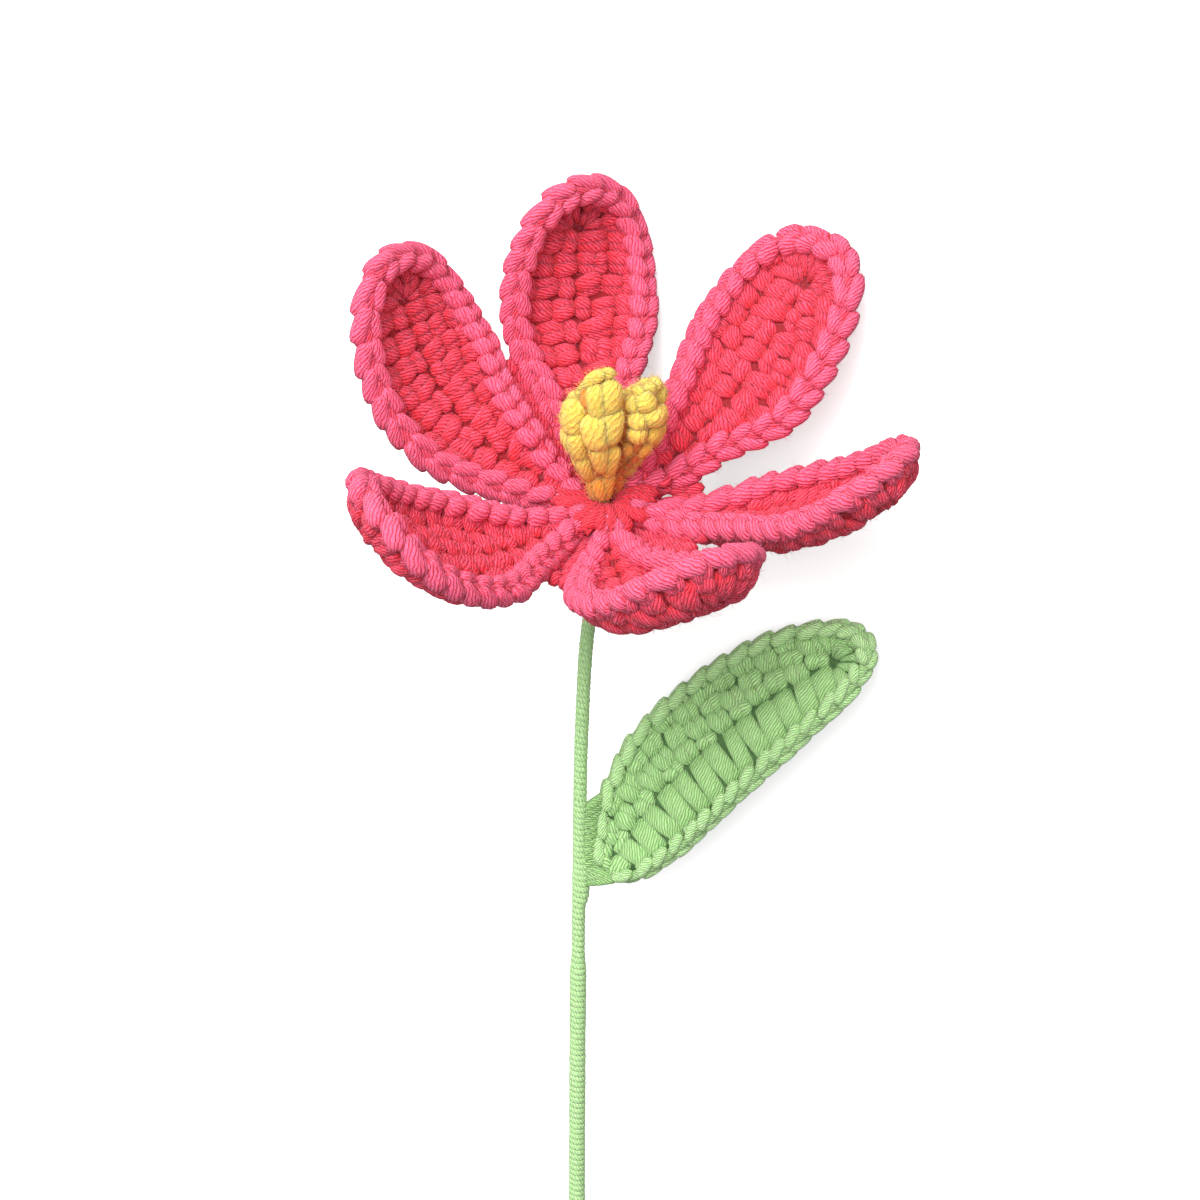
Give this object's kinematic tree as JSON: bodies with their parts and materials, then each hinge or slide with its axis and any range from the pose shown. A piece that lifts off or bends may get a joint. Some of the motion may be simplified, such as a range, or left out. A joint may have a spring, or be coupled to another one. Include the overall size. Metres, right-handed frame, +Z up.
{
  "type": "crocheted flower",
  "caption": "Crocheted flower with cupped pink petals round a rolled yellow stamen, on a wire stem wound with green yarn that carries a long crocheted leaf, lying at rest on its back.",
  "frame": {"origin": "centre of the bounding box at its lowest level, on the surface that the flower lies on", "axes": "+Z up, +Y along the stem from its cut end towards the flower, +X to the right seen from above"},
  "size_m": [0.1216, 0.301, 0.1056],
  "materials": {
    "petal_yarn": "soft plied pink yarn, crocheted, slightly fuzzy",
    "stamen_yarn": "soft fuzzy yellow yarn that turns orange in its folds",
    "leaf_yarn": "plied light green cotton yarn, crocheted on the leaf and wound close on the stem",
    "wire": "bare bright craft wire"
  },
  "bodies": {
    "root": {"petal_1": "petal_yarn", "petal_2": "petal_yarn", "petal_3": "petal_yarn", "petal_4": "petal_yarn", "petal_5": "petal_yarn", "petal_6": "petal_yarn", "petal_wire_1": "wire", "petal_wire_2": "wire", "petal_wire_3": "wire", "petal_wire_4": "wire", "petal_wire_5": "wire", "petal_wire_6": "wire", "stamen": "stamen_yarn", "stem_wire": "wire", "stem_wrap": "leaf_yarn", "leaf": "leaf_yarn", "leaf_wire": "wire"}
  },
  "joints": []
}
